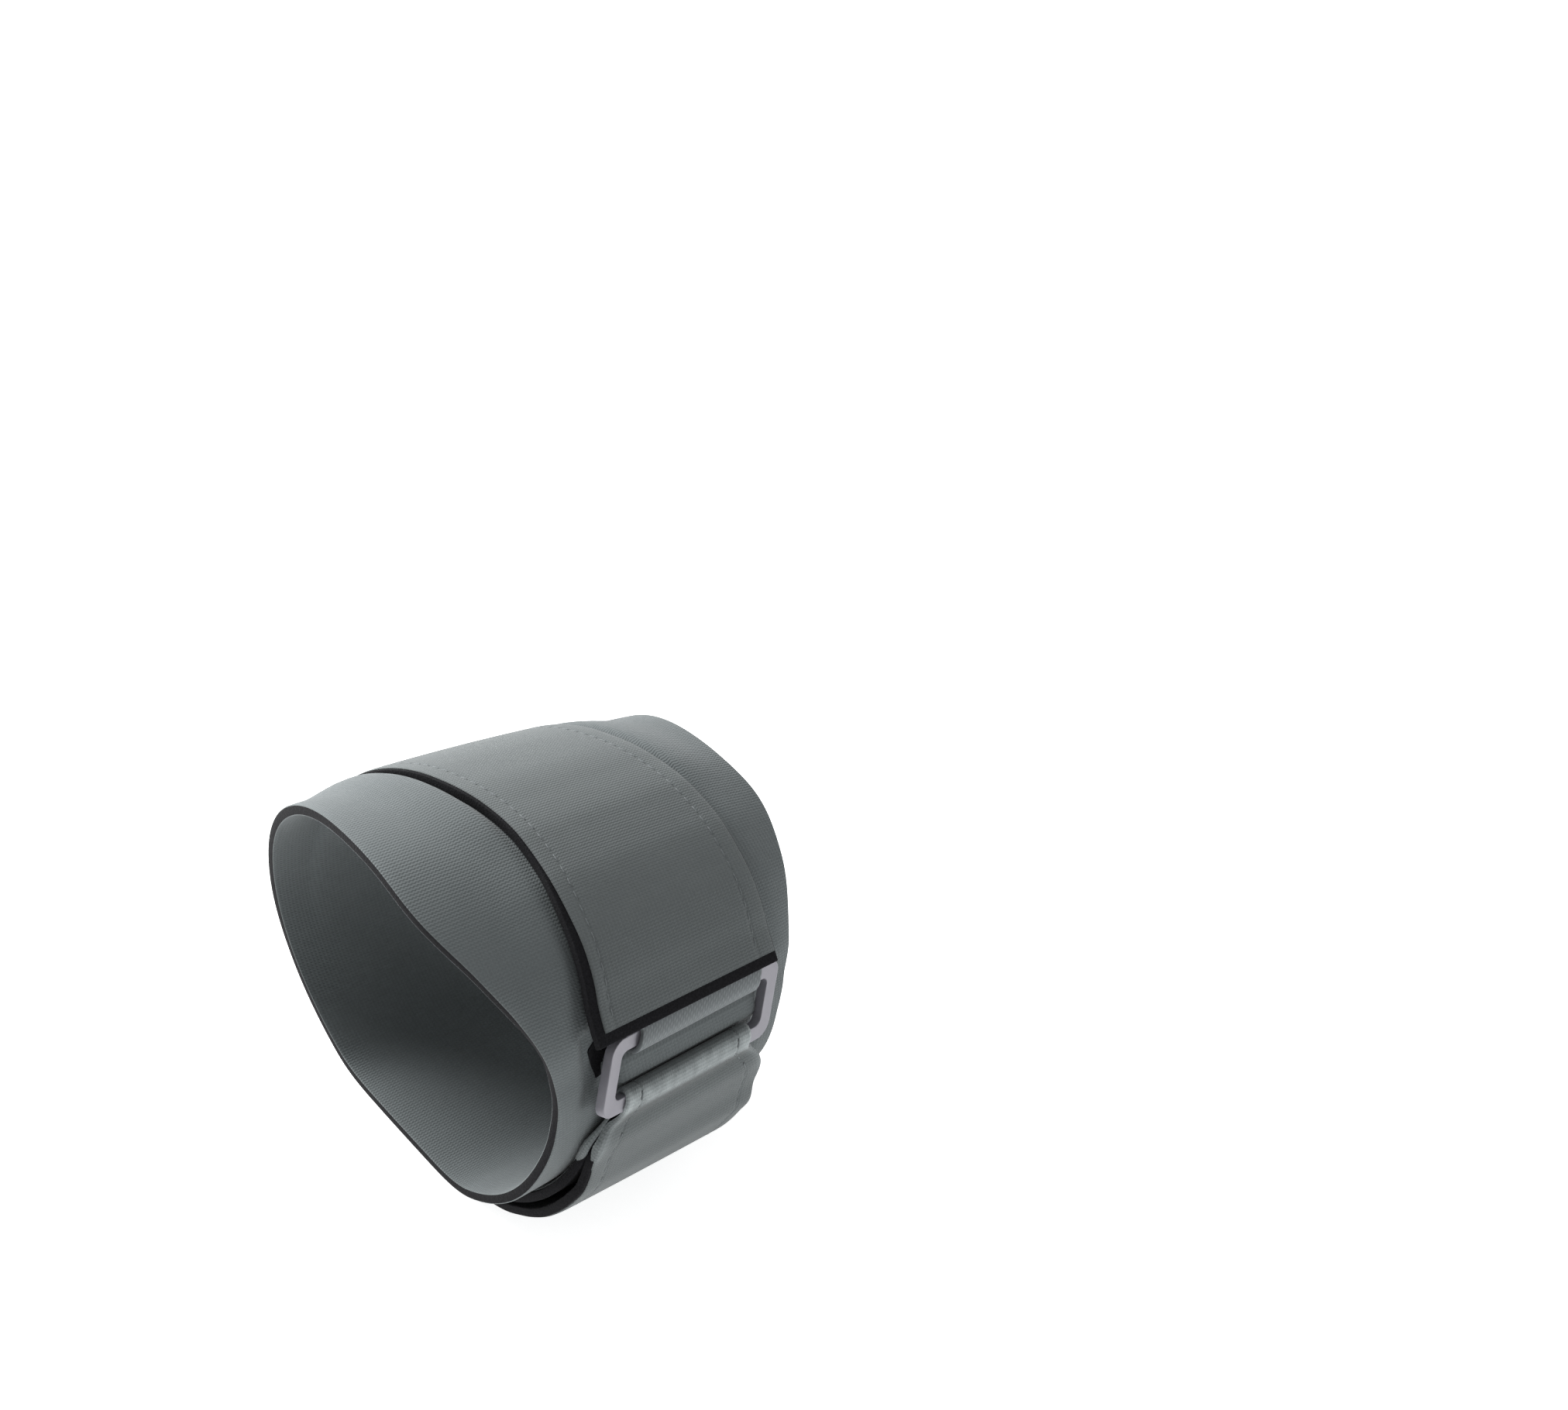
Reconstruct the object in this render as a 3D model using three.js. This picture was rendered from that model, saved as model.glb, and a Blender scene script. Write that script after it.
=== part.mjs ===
// A tennis elbow strap, fastened and lying on its side, in millimetres with +Z up.
// It is a tapered fabric sleeve for the forearm with a tension strap round it: the strap is sewn on
// underneath, folds round the lower bar of a rectangular ring and runs back round the whole sleeve.
import * as THREE from 'three';

// The sleeve: x runs along the forearm, from the elbow side at 0 to the wrist side at sleeveLength
const sleeveLength = 80;
const elbowHalfHeight = 45;
const wristHalfHeight = 38;
const widthRatio = 1.12; // half width over half height of every section
const taperBow = 0.4; // share of the taper that comes late, towards the wrist
const sleeveWall = 2.5;

// The tension strap and the pucker of its loose run below the ring
const strapWidth = 47;
const strapThickness = 2.6;
const puckerHeight = 3;
const anchorAngle = -122;
const neckRun = 18; // degrees past the lower bar in which the strap narrows to the ring

// The ring and the webbing tab that holds it
const ringWindowHeight = 9.5;
const ringBarWidth = 3;
const ringThickness = 2.8;
const ringBevel = 0.85;
const ringCornerRadius = 3;
const upperBarAngle = 22.6;
const tabThickness = 1.2;
const tabRise = 17; // degrees from the upper bar to the sewn end of the tab
const tipRise = 3.6; // degrees from the upper bar to the cut tip of the strap

// Clearances and the flattened underside
const layerGap = 0.3; // between two layers of fabric
const barGap = 0.5; // between the strap and the ring's bar
const tabBarGap = 0.4; // between the tab and the ring's bar
const sideClearance = 3.6; // at each end of the ring's window
const ringSetback = 1.3; // from the strap's elbow-side edge to the ring's end
const ringSkew = 0.46; // the lower bar's lean towards the elbow, a share of the bars' spacing
const restSag = 4; // how far the round underside is pressed in
const restBlend = 2.6;

// How finely the sheets are divided
const angleStep = 5;
const sleeveColumns = 8;
const strapColumns = 6;
const tabColumns = 4;
const foldSteps = 8;
const shoulderTurn = Math.PI / 5; // how far a fold goes on round the far side of its bar

// Heights of the layers above the outer face of the sleeve
const runHeight = strapThickness + layerGap;
const tabHeight = 2 * (tabThickness + layerGap);
const stackHeight = 2 * runHeight;
const strapMiddle = layerGap + strapThickness / 2;
const tabMiddle = layerGap + tabThickness / 2;

// Edges of the sleeve at angles round the arm, as shares of the sleeve's length
const sleeveEdges = [
  { angle: -135, elbow: -0.02, wrist: 0.87 },
  { angle: -90, elbow: -0.01, wrist: 0.84 },
  { angle: -50, elbow: 0.01, wrist: 0.83 },
  { angle: -20, elbow: 0.045, wrist: 0.84 },
  { angle: 0, elbow: 0.085, wrist: 0.86 },
  { angle: 15, elbow: 0.1, wrist: 0.89 },
  { angle: 30, elbow: 0.08, wrist: 0.935 },
  { angle: 50, elbow: 0.005, wrist: 1.01 },
  { angle: 70, elbow: -0.06, wrist: 1.055 },
  { angle: 90, elbow: -0.066, wrist: 1.045 },
  { angle: 120, elbow: -0.05, wrist: 1.03 },
  { angle: 150, elbow: -0.035, wrist: 0.99 },
  { angle: 180, elbow: -0.03, wrist: 0.93 },
];

// Elbow-side edge of the strap as shares of the sleeve's length, and its width as shares of strapWidth
const strapEdges = [
  { angle: -150, edge: 0.085, width: 0.98 },
  { angle: -110, edge: 0.07, width: 1 },
  { angle: -60, edge: 0.08, width: 1 },
  { angle: -30, edge: 0.12, width: 1 },
  { angle: -10, edge: 0.17, width: 1 },
  { angle: 15, edge: 0.2, width: 1.025 },
  { angle: 30, edge: 0.215, width: 1.043 },
  { angle: 44, edge: 0.255, width: 1.024 },
  { angle: 58, edge: 0.281, width: 1 },
  { angle: 72, edge: 0.301, width: 0.969 },
  { angle: 87, edge: 0.3, width: 0.943 },
  { angle: 102, edge: 0.276, width: 0.932 },
  { angle: 120, edge: 0.242, width: 0.924 },
  { angle: 150, edge: 0.175, width: 0.93 },
  { angle: 180, edge: 0.12, width: 0.96 },
];

// Height of the strap's outer run at angles round the arm, from the ring down, under and back over:
// shares of the inner run and of the tab under it, and of the pucker at its two edges
const outerRun = [
  { angle: -20, overRun: 1, overTab: 0, elbowPucker: 0.4, wristPucker: 0.75 },
  { angle: -40, overRun: 1, overTab: 0, elbowPucker: 0.42, wristPucker: 1.15 },
  { angle: -52, overRun: 1, overTab: 0, elbowPucker: 0.22, wristPucker: 0.65 },
  { angle: -64, overRun: 1, overTab: 0, elbowPucker: 0, wristPucker: 0 },
  { angle: -126, overRun: 1, overTab: 0, elbowPucker: 0, wristPucker: 0 },
  { angle: -142, overRun: 0, overTab: 0, elbowPucker: 0, wristPucker: 0 },
  { angle: -250, overRun: 0, overTab: 0, elbowPucker: 0, wristPucker: 0 },
  { angle: -266, overRun: 0, overTab: 0.16, elbowPucker: 0, wristPucker: 0 },
  { angle: -284, overRun: 0, overTab: 0.45, elbowPucker: 0, wristPucker: 0 },
  { angle: -300, overRun: 0, overTab: 0.8, elbowPucker: 0, wristPucker: 0 },
  { angle: -314, overRun: 0, overTab: 1.06, elbowPucker: 0, wristPucker: 0 },
  { angle: -326, overRun: 0, overTab: 1.35, elbowPucker: 0, wristPucker: 0 },
  { angle: -332, overRun: 0, overTab: 1.85, elbowPucker: 0, wristPucker: 0 },
  { angle: -335, overRun: 0, overTab: 2.2, elbowPucker: 0, wristPucker: 0 },
];

// Where the outer run comes off the lower bar: degrees past the bar, and shares of the pucker
const creaseRows = [
  { pastBar: 5, pucker: 0.85 },
  { pastBar: 8, pucker: 0.4 },
  { pastBar: 12, pucker: 0.2 },
  { pastBar: 17, pucker: 0.15 },
  { pastBar: 22, pucker: 0.25 },
];

// Where the tab's outer tail comes off the upper bar: degrees past the bar, and shares of the drop
// from the top of the bar to the lower tail
const tabTailRows = [
  { pastBar: 4.4, drop: 0.42 },
  { pastBar: 6.2, drop: 0.76 },
  { pastBar: 8.5, drop: 0.96 },
  { pastBar: 11, drop: 1 },
  { pastBar: 14, drop: 1 },
];

// A smooth value at an angle between the rows of a table that goes once round the arm
function roundTable(rows, column, angle) {
  const count = rows.length;
  const first = rows[0].angle;
  const wrapped = first + THREE.MathUtils.euclideanModulo(angle - first, 360);
  let index = count - 1;
  while (rows[index].angle > wrapped) index -= 1;
  const angleAt = (i) => rows[THREE.MathUtils.euclideanModulo(i, count)].angle + 360 * Math.floor(i / count);
  const valueAt = (i) => rows[THREE.MathUtils.euclideanModulo(i, count)][column];
  return hermite(angleAt, valueAt, index, wrapped);
}

// A smooth value between rows 'index' and 'index + 1', with slopes taken from the rows beside them
function hermite(placeAt, valueAt, index, place) {
  const span = placeAt(index + 1) - placeAt(index);
  const t = (place - placeAt(index)) / span;
  const slope = (i) => (valueAt(i + 1) - valueAt(i - 1)) / (placeAt(i + 1) - placeAt(i - 1));
  const t2 = t * t;
  const t3 = t2 * t;
  return (2 * t3 - 3 * t2 + 1) * valueAt(index) + (t3 - 2 * t2 + t) * span * slope(index)
    + (3 * t2 - 2 * t3) * valueAt(index + 1) + (t3 - t2) * span * slope(index + 1);
}

// A value eased between the rows of the outer run, whose angles go down
function outerRunValue(column, angle) {
  if (angle >= outerRun[0].angle) return outerRun[0][column];
  const last = outerRun[outerRun.length - 1];
  if (angle <= last.angle) return last[column];
  const index = outerRun.findIndex((row) => row.angle < angle) - 1;
  const from = outerRun[index];
  const to = outerRun[index + 1];
  const share = THREE.MathUtils.smoothstep(from.angle - angle, 0, from.angle - to.angle);
  return THREE.MathUtils.lerp(from[column], to[column], share);
}

// The underside is pressed flat where it would go below its place in the resting stack
function settle(z, restHeight) {
  const above = z - restHeight;
  if (above > restBlend) return z;
  if (above < -restBlend) return restHeight;
  return restHeight + (above + restBlend) ** 2 / (4 * restBlend);
}

// A point on the form: the angle in degrees is 0 on the near side, 90 on top and -90 underneath
function formPoint(angle, x, lift) {
  const share = x / sleeveLength;
  const taper = share * (1 - taperBow) + taperBow * share * share;
  const halfHeight = elbowHalfHeight + (wristHalfHeight - elbowHalfHeight) * taper;
  const centreHeight = halfHeight + stackHeight - restSag;
  const turn = THREE.MathUtils.degToRad(angle);
  const y = -(widthRatio * halfHeight + lift) * Math.cos(turn);
  const z = centreHeight + (halfHeight + lift) * Math.sin(turn);
  return new THREE.Vector3(x, y, settle(z, stackHeight - lift));
}

// A closed solid of one sheet: its middle surface, moved by half the thickness to both sides.
// middle(row, across) gives the point at a row's number and a share from 0 to 1 across the sheet.
function sheetSolid(middle, rows, columns, thickness, closed) {
  const rowAt = (row) => (closed ? (row + rows) % rows : THREE.MathUtils.clamp(row, 0, rows - 1));
  const positions = [];
  for (let row = 0; row < rows; row += 1) {
    for (let column = 0; column <= columns; column += 1) {
      const across = column / columns;
      const along = middle(rowAt(row + 1), across).sub(middle(rowAt(row - 1), across));
      const side = middle(row, Math.min(across + 1 / columns, 1))
        .sub(middle(row, Math.max(across - 1 / columns, 0)));
      const offset = side.cross(along).setLength(thickness / 2);
      const centre = middle(row, across);
      positions.push(...centre.clone().add(offset).toArray(), ...centre.sub(offset).toArray());
    }
  }
  const upper = (row, column) => 2 * (rowAt(row) * (columns + 1) + column);
  const lower = (row, column) => upper(row, column) + 1;
  const triangles = [];
  const quad = (a, b, c, d) => triangles.push(a, b, c, a, c, d);
  const bands = closed ? rows : rows - 1;
  for (let row = 0; row < bands; row += 1) {
    for (let column = 0; column < columns; column += 1) {
      quad(upper(row, column), upper(row, column + 1), upper(row + 1, column + 1), upper(row + 1, column));
      quad(lower(row, column), lower(row + 1, column), lower(row + 1, column + 1), lower(row, column + 1));
    }
    quad(upper(row, 0), upper(row + 1, 0), lower(row + 1, 0), lower(row, 0));
    quad(upper(row, columns), lower(row, columns), lower(row + 1, columns), upper(row + 1, columns));
  }
  for (let column = 0; column < columns && !closed; column += 1) {
    const end = rows - 1;
    quad(upper(0, column), lower(0, column), lower(0, column + 1), upper(0, column + 1));
    quad(upper(end, column), upper(end, column + 1), lower(end, column + 1), lower(end, column));
  }
  const geometry = new THREE.BufferGeometry();
  geometry.setAttribute('position', new THREE.Float32BufferAttribute(positions, 3));
  geometry.setIndex(triangles);
  geometry.computeVertexNormals();
  return geometry;
}

// The ring's place: it is as long as the strap is wide and lies in line with it, its lower bar over
// the strap's inner run and its upper bar over the tab
const ringWindowLength = strapWidth - 2 * ringBarWidth;
const ringCentreX = roundTable(strapEdges, 'edge', upperBarAngle) * sleeveLength + ringSetback + strapWidth / 2;
const neckHalf = ringWindowLength / 2 - sideClearance;
const barSpacing = ringWindowHeight + ringBarWidth;
const lowerNeckX = ringCentreX - ringSkew * barSpacing / 2;
const upperNeckX = ringCentreX + ringSkew * barSpacing / 2;
const lowerBarLift = layerGap + strapThickness + barGap + ringThickness / 2;
const upperBarLift = layerGap + tabThickness + tabBarGap + ringThickness / 2;
const upperBar = formPoint(upperBarAngle, ringCentreX, upperBarLift);
const lowerBarAngle = findLowerBarAngle();

// The angle at which the lower bar is one bar spacing from the upper bar
function findLowerBarAngle() {
  let near = upperBarAngle;
  let far = upperBarAngle - 90;
  for (let round = 0; round < 40; round += 1) {
    const angle = (near + far) / 2;
    if (formPoint(angle, ringCentreX, lowerBarLift).distanceTo(upperBar) < barSpacing) near = angle;
    else far = angle;
  }
  return near;
}

// The ring's own frame: x along the form, y from the lower bar to the upper bar, z outwards. The strap
// comes in askew, so the ring is moulded askew to match and y leans.
function ringFrame() {
  const lowerBar = formPoint(lowerBarAngle, ringCentreX, lowerBarLift);
  const middleAngle = (upperBarAngle + lowerBarAngle) / 2;
  const middleLift = (upperBarLift + lowerBarLift) / 2;
  const halfLength = ringWindowLength / 2;
  const along = formPoint(middleAngle, ringCentreX + halfLength, middleLift)
    .sub(formPoint(middleAngle, ringCentreX - halfLength, middleLift)).normalize();
  const outward = along.clone().cross(upperBar.clone().sub(lowerBar)).normalize();
  const up = outward.clone().cross(along).addScaledVector(along, ringSkew);
  const centre = upperBar.clone().add(lowerBar).multiplyScalar(0.5);
  return new THREE.Matrix4().makeBasis(along, up, outward).setPosition(centre);
}

const ringPlace = ringFrame();
const inRing = (x, y, z) => new THREE.Vector3(x, y, z).applyMatrix4(ringPlace);

// A sheet's way round one bar: stations at a radius, from under the bar, past its window side, over
// it and onto its far shoulder. 'side' is 1 when the window is above the bar and -1 when it is below.
function foldStations(barY, side, radius, roundness, halfWidth) {
  const stations = [];
  const addStation = (centreY, turn) => {
    const y = centreY + side * radius * Math.cos(turn);
    const z = radius * Math.sin(turn);
    stations.push((across) => inRing(THREE.MathUtils.lerp(-halfWidth, halfWidth, across), y, z));
  };
  for (let step = 0; step <= foldSteps; step += 1) {
    addStation(barY + side * roundness, Math.PI * (step / foldSteps - 0.5));
  }
  addStation(barY - side * roundness, Math.PI / 2 + shoulderTurn);
  return stations;
}

function makeBaseBand() {
  const rows = 360 / angleStep;
  const middle = (row, across) => {
    const angle = row * angleStep;
    const elbow = roundTable(sleeveEdges, 'elbow', angle) * sleeveLength;
    const wrist = roundTable(sleeveEdges, 'wrist', angle) * sleeveLength;
    return formPoint(angle, THREE.MathUtils.lerp(elbow, wrist, across), -sleeveWall / 2);
  };
  return sheetSolid(middle, rows, sleeveColumns, sleeveWall, true);
}

// A station of the strap on the form, narrowed towards the ring for the first degrees past the bar
function strapStation(angle, elbowLift, wristLift, pastBar) {
  const spread = THREE.MathUtils.smoothstep(pastBar, 0, neckRun);
  const edge = roundTable(strapEdges, 'edge', angle) * sleeveLength;
  const width = roundTable(strapEdges, 'width', angle) * strapWidth;
  const elbow = THREE.MathUtils.lerp(lowerNeckX - neckHalf, edge, spread);
  const wrist = THREE.MathUtils.lerp(lowerNeckX + neckHalf, edge + width, spread);
  return (across) => formPoint(
    angle,
    THREE.MathUtils.lerp(elbow, wrist, across),
    THREE.MathUtils.lerp(elbowLift, wristLift, across),
  );
}

function makeTensionStrap() {
  const tipAngle = upperBarAngle + tipRise - 360;
  const stations = [];
  for (let angle = anchorAngle; angle < lowerBarAngle - angleStep / 2; angle += angleStep) {
    stations.push(strapStation(angle, strapMiddle, strapMiddle, lowerBarAngle - angle));
  }
  const foldRadius = ringThickness / 2 + barGap + strapThickness / 2;
  stations.push(...foldStations(-barSpacing / 2, 1, foldRadius, barGap, neckHalf));
  for (const row of creaseRows) {
    const lift = strapMiddle + runHeight + row.pucker * puckerHeight;
    stations.push(strapStation(lowerBarAngle - row.pastBar, lift, lift, row.pastBar));
  }
  for (let angle = outerRun[0].angle; angle > tipAngle + angleStep / 2; angle -= angleStep) {
    stations.push(outerStation(angle));
  }
  stations.push(outerStation(tipAngle));
  const middle = (row, across) => stations[row](across);
  return sheetSolid(middle, stations.length, strapColumns, strapThickness, false);
}

// A station of the strap's outer run, lifted by what lies under it
function outerStation(angle) {
  const lift = strapMiddle + outerRunValue('overRun', angle) * runHeight
    + outerRunValue('overTab', angle) * tabHeight;
  return strapStation(
    angle,
    lift + outerRunValue('elbowPucker', angle) * puckerHeight,
    lift + outerRunValue('wristPucker', angle) * puckerHeight,
    lowerBarAngle - angle,
  );
}

function makeRingTab() {
  const station = (angle, lift) => (across) => (
    formPoint(angle, upperNeckX + THREE.MathUtils.lerp(-neckHalf, neckHalf, across), lift)
  );
  const foldRadius = ringThickness / 2 + tabBarGap + tabThickness / 2;
  const tailLift = tabMiddle + tabThickness + layerGap;
  const topLift = upperBarLift + foldRadius;
  const endAngle = upperBarAngle + tabRise;
  const outerTail = tabTailRows.map((row) => (
    station(upperBarAngle + row.pastBar, THREE.MathUtils.lerp(topLift, tailLift, row.drop))
  ));
  const stations = [];
  for (const row of [...tabTailRows].reverse()) {
    stations.push(station(upperBarAngle + row.pastBar, tabMiddle));
  }
  stations.unshift(station(endAngle, tabMiddle));
  stations.push(...foldStations(barSpacing / 2, -1, foldRadius, tabBarGap, neckHalf));
  stations.push(...outerTail, station(endAngle, tailLift));
  return sheetSolid((row, across) => stations[row](across), stations.length, tabColumns, tabThickness, false);
}

function roundedRectangle(path, halfLength, halfHeight, radius) {
  path.moveTo(halfLength, -halfHeight + radius);
  path.lineTo(halfLength, halfHeight - radius);
  path.absarc(halfLength - radius, halfHeight - radius, radius, 0, Math.PI / 2);
  path.lineTo(-halfLength + radius, halfHeight);
  path.absarc(-halfLength + radius, halfHeight - radius, radius, Math.PI / 2, Math.PI);
  path.lineTo(-halfLength, -halfHeight + radius);
  path.absarc(-halfLength + radius, -halfHeight + radius, radius, Math.PI, 1.5 * Math.PI);
  path.lineTo(halfLength - radius, -halfHeight);
  path.absarc(halfLength - radius, -halfHeight + radius, radius, 1.5 * Math.PI, 2 * Math.PI);
  return path;
}

// The bevel grows outwards from the drawn outline, so the outline is drawn that much smaller
function makeBuckleRing() {
  const outerHalfLength = ringWindowLength / 2 + ringBarWidth;
  const outerHalfHeight = ringWindowHeight / 2 + ringBarWidth;
  const outline = roundedRectangle(
    new THREE.Shape(), outerHalfLength - ringBevel, outerHalfHeight - ringBevel, ringCornerRadius - ringBevel,
  );
  outline.holes.push(roundedRectangle(
    new THREE.Path(), ringWindowLength / 2 + ringBevel, ringWindowHeight / 2 + ringBevel, ringBevel + 0.6,
  ));
  const geometry = new THREE.ExtrudeGeometry(outline, {
    depth: ringThickness - 2 * ringBevel,
    bevelThickness: ringBevel,
    bevelSize: ringBevel,
    bevelSegments: 3,
    curveSegments: 5,
  });
  geometry.translate(0, 0, ringBevel - ringThickness / 2);
  return geometry.applyMatrix4(ringPlace);
}

function piece(name, geometry, colour, roughness) {
  const material = new THREE.MeshStandardMaterial({ color: colour, roughness, metalness: 0 });
  const mesh = new THREE.Mesh(geometry, material);
  mesh.name = name;
  return mesh;
}

const elbowStrap = new THREE.Group();
elbowStrap.add(
  piece('base_band', makeBaseBand(), '#5f6565', 0.85),
  piece('tension_strap', makeTensionStrap(), '#5a6160', 0.85),
  piece('buckle_ring', makeBuckleRing(), '#85868c', 0.45),
  piece('ring_tab', makeRingTab(), '#6d7376', 0.8),
);

// The origin is under the middle of the part, on the surface that it lies on
const bounds = new THREE.Box3().setFromObject(elbowStrap);
const middle = bounds.getCenter(new THREE.Vector3());
elbowStrap.position.set(-middle.x, -middle.y, -bounds.min.z);
elbowStrap.updateMatrixWorld(true);

export default elbowStrap;
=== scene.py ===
# %% [markdown]
# # A fastened forearm strap in grey fabric
# A tapered fabric sleeve goes round the forearm. A second strap of fabric on black foam pulls it tight:
# it folds round the lower bar of a plastic ring and runs back round the whole sleeve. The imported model
# gives the true place and size of every piece, so it is loaded first and its box is kept.

# %% Load the frame
import math

import bpy
from mathutils import Matrix, Vector


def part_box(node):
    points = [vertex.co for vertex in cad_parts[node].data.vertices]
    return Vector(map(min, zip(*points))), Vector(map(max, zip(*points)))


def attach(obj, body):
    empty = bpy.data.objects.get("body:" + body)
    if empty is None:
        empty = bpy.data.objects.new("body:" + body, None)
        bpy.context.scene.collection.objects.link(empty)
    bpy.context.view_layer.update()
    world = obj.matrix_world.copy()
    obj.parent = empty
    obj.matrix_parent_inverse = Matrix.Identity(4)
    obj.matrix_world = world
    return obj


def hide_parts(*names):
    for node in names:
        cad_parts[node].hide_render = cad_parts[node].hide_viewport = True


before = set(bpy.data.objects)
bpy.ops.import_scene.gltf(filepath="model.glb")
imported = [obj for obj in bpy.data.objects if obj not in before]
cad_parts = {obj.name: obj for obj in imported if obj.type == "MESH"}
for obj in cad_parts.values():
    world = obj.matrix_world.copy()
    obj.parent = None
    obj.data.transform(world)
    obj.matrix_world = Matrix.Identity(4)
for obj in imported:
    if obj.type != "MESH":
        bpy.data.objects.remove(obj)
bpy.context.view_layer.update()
MM = 0.001

# %% [markdown]
# ## The form that every sheet lies on
# All the fabric follows one form, like a tailor's last: a tapered tube, a little wider than high, whose
# underside is pressed flat where it lies. A point on it has an angle round the arm, a place along the
# arm and a lift off the sleeve's outer face. One function for the form keeps the sheets a clear gap
# apart, which three separately modelled tubes would not.

# %% Sizes of the form, in millimetres
SLEEVE_LENGTH = 80
ELBOW_HALF_HEIGHT = 45
WRIST_HALF_HEIGHT = 38
WIDTH_RATIO = 1.12
TAPER_BOW = 0.4
SLEEVE_WALL = 2.5
STRAP_WIDTH = 47
STRAP_THICKNESS = 2.6
LAYER_GAP = 0.3
REST_SAG = 4
REST_BLEND = 2.6
RUN_HEIGHT = STRAP_THICKNESS + LAYER_GAP
STACK_HEIGHT = 2 * RUN_HEIGHT


# %% The form function
def mix(low, high, share):
    return low + (high - low) * share


def ease(value, low, high):
    share = min(max((value - low) / (high - low), 0), 1)
    return share * share * (3 - 2 * share)


def settle(z, rest_height):
    above = z - rest_height
    if above > REST_BLEND:
        return z
    if above < -REST_BLEND:
        return rest_height
    return rest_height + (above + REST_BLEND) ** 2 / (4 * REST_BLEND)


def form_point(angle, x, lift):
    """A point in millimetres. Angle 0 is the near side, 90 the top and -90 the underside."""
    share = x / SLEEVE_LENGTH
    taper = share * (1 - TAPER_BOW) + TAPER_BOW * share * share
    half_height = mix(ELBOW_HALF_HEIGHT, WRIST_HALF_HEIGHT, taper)
    centre_height = half_height + STACK_HEIGHT - REST_SAG
    turn = math.radians(angle)
    y = -(WIDTH_RATIO * half_height + lift) * math.cos(turn)
    z = centre_height + (half_height + lift) * math.sin(turn)
    return Vector((x, y, settle(z, STACK_HEIGHT - lift)))


# %% Smooth values from short tables
def hermite(place_at, value_at, index, place):
    """A smooth value between rows index and index + 1, with slopes from the rows beside them."""
    span = place_at(index + 1) - place_at(index)
    t = (place - place_at(index)) / span

    def slope(i):
        return (value_at(i + 1) - value_at(i - 1)) / (place_at(i + 1) - place_at(i - 1))

    rise, fall = 3 * t**2 - 2 * t**3, 1 - 3 * t**2 + 2 * t**3
    bend_in = (t**3 - 2 * t**2 + t) * span
    bend_out = (t**3 - t**2) * span
    return (value_at(index) * fall + slope(index) * bend_in
            + value_at(index + 1) * rise + slope(index + 1) * bend_out)


def round_table(rows, column, angle):
    """Column 0 of a row is its angle, and the rows go once round the arm."""
    count = len(rows)
    wrapped = rows[0][0] + (angle - rows[0][0]) % 360
    index = max(i for i in range(count) if rows[i][0] <= wrapped)
    return hermite(lambda i: rows[i % count][0] + 360 * (i // count),
                   lambda i: rows[i % count][column], index, wrapped)


# %% [markdown]
# ## The edges and the runs, as short tables
# The sleeve is cut with curved edges: long over the top of the forearm and short under the ring, so
# that it clears the crook of the elbow. The strap is cut nearly straight but runs a little askew.

# %% Tables of the sleeve and the strap
# Angle, elbow-side edge and wrist-side edge, as shares of the sleeve's length
SLEEVE_EDGES = [
    (-135, -0.02, 0.87), (-90, -0.01, 0.84), (-50, 0.01, 0.83), (-20, 0.045, 0.84),
    (0, 0.085, 0.86), (15, 0.1, 0.89), (30, 0.08, 0.935), (50, 0.005, 1.01), (70, -0.06, 1.055),
    (90, -0.066, 1.045), (120, -0.05, 1.03), (150, -0.035, 0.99), (180, -0.03, 0.93),
]
# Angle, elbow-side edge as a share of the sleeve's length, width as a share of the strap's width
STRAP_EDGES = [
    (-150, 0.085, 0.98), (-110, 0.07, 1), (-60, 0.08, 1), (-30, 0.12, 1), (-10, 0.17, 1),
    (15, 0.2, 1.025), (30, 0.215, 1.043), (44, 0.255, 1.024), (58, 0.281, 1), (72, 0.301, 0.969),
    (87, 0.3, 0.943), (102, 0.276, 0.932), (120, 0.242, 0.924), (150, 0.175, 0.93), (180, 0.12, 0.96),
]
# Angle, shares of the inner run and of the tab under the outer run, pucker at its two edges
OUTER_RUN = [
    (-20, 1, 0, 0.4, 0.75), (-40, 1, 0, 0.42, 1.15), (-52, 1, 0, 0.22, 0.65), (-64, 1, 0, 0, 0),
    (-126, 1, 0, 0, 0), (-142, 0, 0, 0, 0), (-250, 0, 0, 0, 0), (-266, 0, 0.16, 0, 0),
    (-284, 0, 0.45, 0, 0), (-300, 0, 0.8, 0, 0), (-314, 0, 1.06, 0, 0), (-326, 0, 1.35, 0, 0),
    (-332, 0, 1.85, 0, 0), (-335, 0, 2.2, 0, 0),
]
# Degrees past the lower bar, share of the pucker
CREASE_ROWS = [(5, 0.1), (8, -0.28), (12, -0.06), (17, -0.05), (22, 0.12)]
# Degrees past the upper bar, share of the drop from the top of the bar to the lower tail
TAB_TAIL_ROWS = [(4.4, 0.42), (6.2, 0.76), (8.5, 0.96), (11, 1), (14, 1)]
PUCKER_HEIGHT = 3
ANCHOR_ANGLE = -122
NECK_RUN = 18


def edges_at(angle):
    """The two edges of the sleeve and then of the strap, in millimetres along the arm."""
    elbow, wrist = (round_table(SLEEVE_EDGES, column, angle) * SLEEVE_LENGTH for column in (1, 2))
    low = round_table(STRAP_EDGES, 1, angle) * SLEEVE_LENGTH
    return elbow, wrist, low, low + round_table(STRAP_EDGES, 2, angle) * STRAP_WIDTH


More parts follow.
